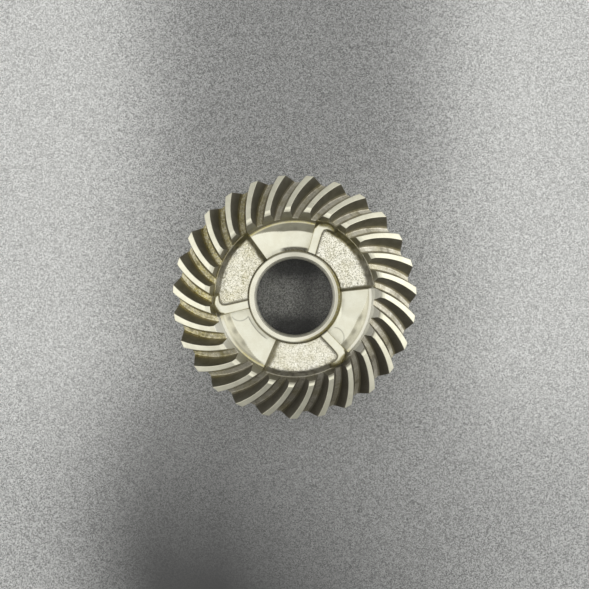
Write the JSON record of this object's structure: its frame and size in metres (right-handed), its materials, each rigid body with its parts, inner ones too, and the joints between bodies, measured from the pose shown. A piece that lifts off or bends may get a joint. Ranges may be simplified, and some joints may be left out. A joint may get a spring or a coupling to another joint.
{
  "type": "bevel gear",
  "caption": "Spiral bevel ring gear with ratchet clutch dogs forged inside the tooth ring, a sleeved bore standing proud of the dogs, and a rear hub that seats a bearing.",
  "frame": {"origin": "on the gear's axis, in the plane of the rear hub face", "axes": "+Z along the axis from the rear hub towards the toothed face; +X lies 6.25 degrees clockwise, seen from the front, of the foot of one dog's ramp side"},
  "size_m": [0.08, 0.0799, 0.03],
  "materials": {
    "gear_steel": "satin",
    "sleeve_steel": "satin"
  },
  "bodies": {
    "root": {"ring_gear": "gear_steel", "bore_sleeve": "sleeve_steel"}
  },
  "joints": []
}
